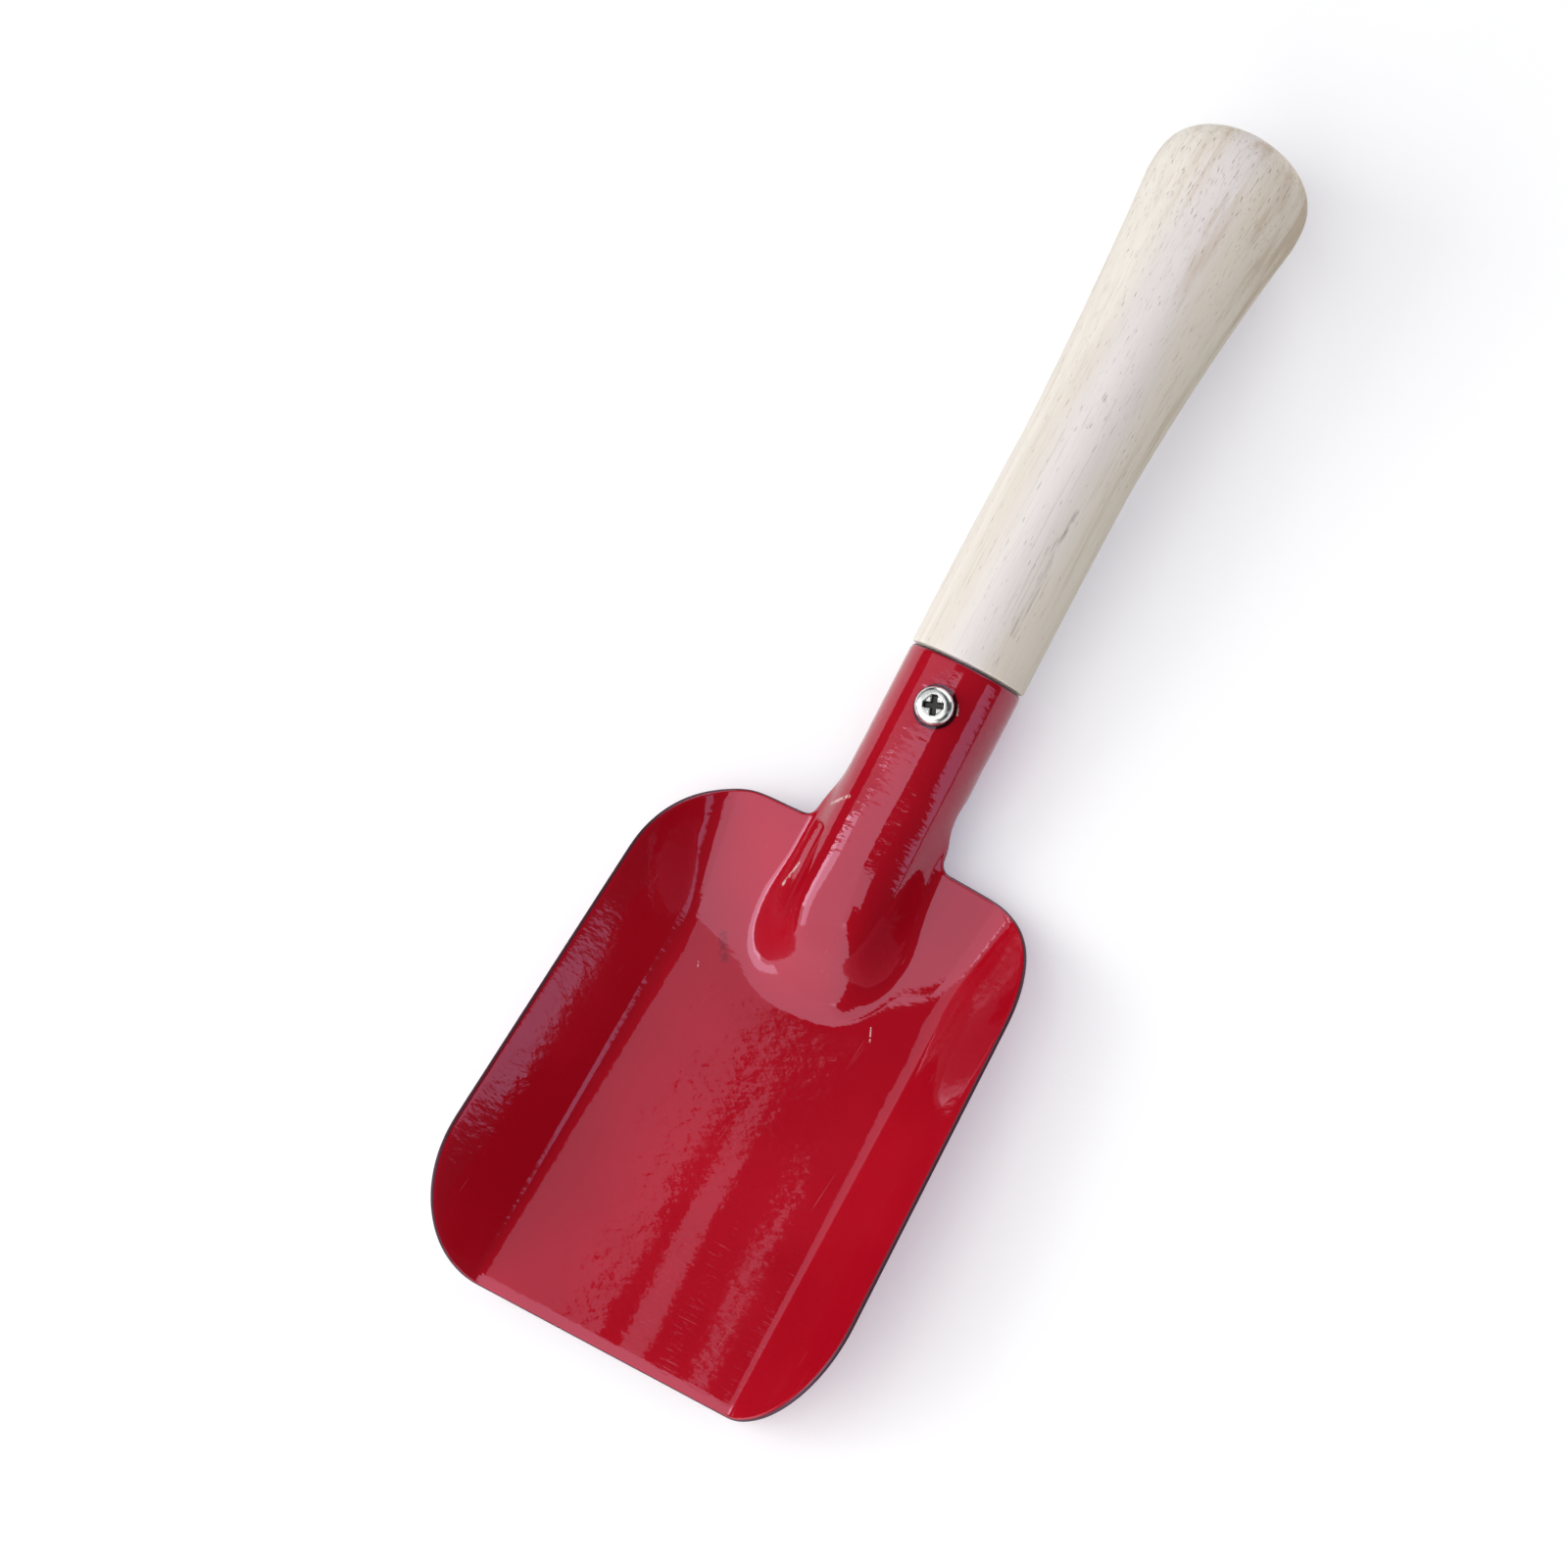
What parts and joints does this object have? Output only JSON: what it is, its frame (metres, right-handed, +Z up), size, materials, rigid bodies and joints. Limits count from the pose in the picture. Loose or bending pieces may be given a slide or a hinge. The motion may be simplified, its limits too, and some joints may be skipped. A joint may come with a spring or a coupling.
{
  "type": "garden shovel",
  "caption": "Small hand shovel: a square-fronted scoop blade of painted sheet steel with upturned sides, rolled into a socket for a turned wooden handle held by a screw.",
  "frame": {"origin": "on the table, under the middle of the shovel's box as it lies on the back of its floor and on its butt", "axes": "+X from the blade's front edge to the handle's butt, +Y to the left of that, +Z up from the table, out of the scoop"},
  "size_m": [0.2454, 0.0788, 0.0302],
  "materials": {
    "red_paint": "glossy red enamel on sheet steel, with small scuffs",
    "raw_wood": "bare sanded pale hardwood",
    "bright_zinc": "bright zinc plate"
  },
  "bodies": {
    "root": {"blade": "red_paint", "handle": "raw_wood", "screw": "bright_zinc"}
  },
  "joints": []
}
